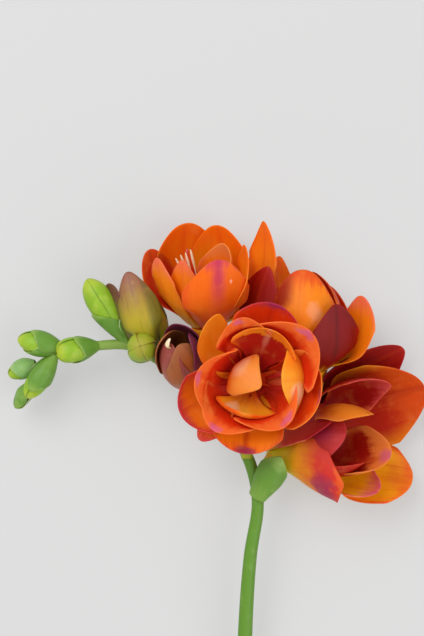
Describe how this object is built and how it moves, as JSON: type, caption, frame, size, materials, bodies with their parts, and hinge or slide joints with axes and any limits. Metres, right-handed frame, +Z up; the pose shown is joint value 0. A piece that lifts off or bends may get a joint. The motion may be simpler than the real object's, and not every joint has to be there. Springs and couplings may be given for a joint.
{
  "type": "cut freesia",
  "caption": "Cut stem of double freesia lying on its side, with orange red open blooms of layered petals and an arching spike of green and purple buds.",
  "frame": {"origin": "on the surface that the flower lies on, under the middle of its bounding box", "axes": "+X to the right, away from the tip of the spike, +Y from the cut end towards the blooms, +Z up from the surface"},
  "size_m": [0.135, 0.2254, 0.0473],
  "materials": {
    "stem": "smooth, faintly waxy green skin",
    "bract": "smooth waxy green, with fine lengthwise veins",
    "tube": "velvety yellow that turns orange towards the mouth",
    "outer_petal": "velvety orange red with a purple tip and midline",
    "inner_petal": "velvety orange with fine veins and a pink edge",
    "stamen": "matt cream filaments and anthers",
    "green_bud": "smooth yellow green with lengthwise veins",
    "ripe_bud": "smooth olive that turns purple brown at the tip",
    "opening_bud": "velvety purple brown over dull orange"
  },
  "bodies": {
    "root": {"collared_bud": "green_bud", "front_bloom_tube": "tube", "front_cup_petal_1": "inner_petal", "front_cup_petal_2": "inner_petal", "front_cup_petal_3": "inner_petal", "front_cup_petal_4": "inner_petal", "front_cup_petal_5": "inner_petal", "front_inner_petal_1": "inner_petal", "front_inner_petal_2": "inner_petal", "front_inner_petal_3": "inner_petal", "front_inner_petal_4": "inner_petal", "front_outer_petal_1": "outer_petal", "front_outer_petal_2": "outer_petal", "front_outer_petal_3": "outer_petal", "front_outer_petal_4": "outer_petal", "front_outer_petal_5": "outer_petal", "front_outer_petal_6": "outer_petal", "inner_bract": "bract", "last_bud": "green_bud", "left_bud": "green_bud", "lower_bud": "green_bud", "opening_bud": "opening_bud", "outer_bract": "bract", "right_bloom_tube": "tube", "right_cup_petal_1": "inner_petal", "right_cup_petal_2": "inner_petal", "right_cup_petal_3": "inner_petal", "right_inner_petal_1": "inner_petal", "right_inner_petal_2": "inner_petal", "right_outer_petal_1": "outer_petal", "right_outer_petal_2": "outer_petal", "right_outer_petal_3": "outer_petal", "right_outer_petal_4": "outer_petal", "right_outer_petal_5": "outer_petal", "right_outer_petal_6": "outer_petal", "round_bud": "green_bud", "stem": "stem", "striped_bud": "ripe_bud", "upper_left_bloom_tube": "tube", "upper_left_cup_petal_1": "inner_petal", "upper_left_cup_petal_2": "inner_petal", "upper_left_inner_petal_1": "inner_petal", "upper_left_inner_petal_2": "inner_petal", "upper_left_outer_petal_1": "outer_petal", "upper_left_outer_petal_2": "outer_petal", "upper_left_outer_petal_3": "outer_petal", "upper_left_outer_petal_4": "outer_petal", "upper_left_outer_petal_5": "outer_petal", "upper_left_outer_petal_6": "outer_petal", "upper_left_stamens": "stamen", "upper_right_bloom_tube": "tube", "upper_right_cup_petal_1": "inner_petal", "upper_right_cup_petal_2": "inner_petal", "upper_right_inner_petal_1": "inner_petal", "upper_right_outer_petal_1": "outer_petal", "upper_right_outer_petal_2": "outer_petal", "upper_right_outer_petal_3": "outer_petal", "upper_right_outer_petal_4": "outer_petal", "upper_right_outer_petal_5": "outer_petal", "upright_bud": "green_bud"}
  },
  "joints": []
}
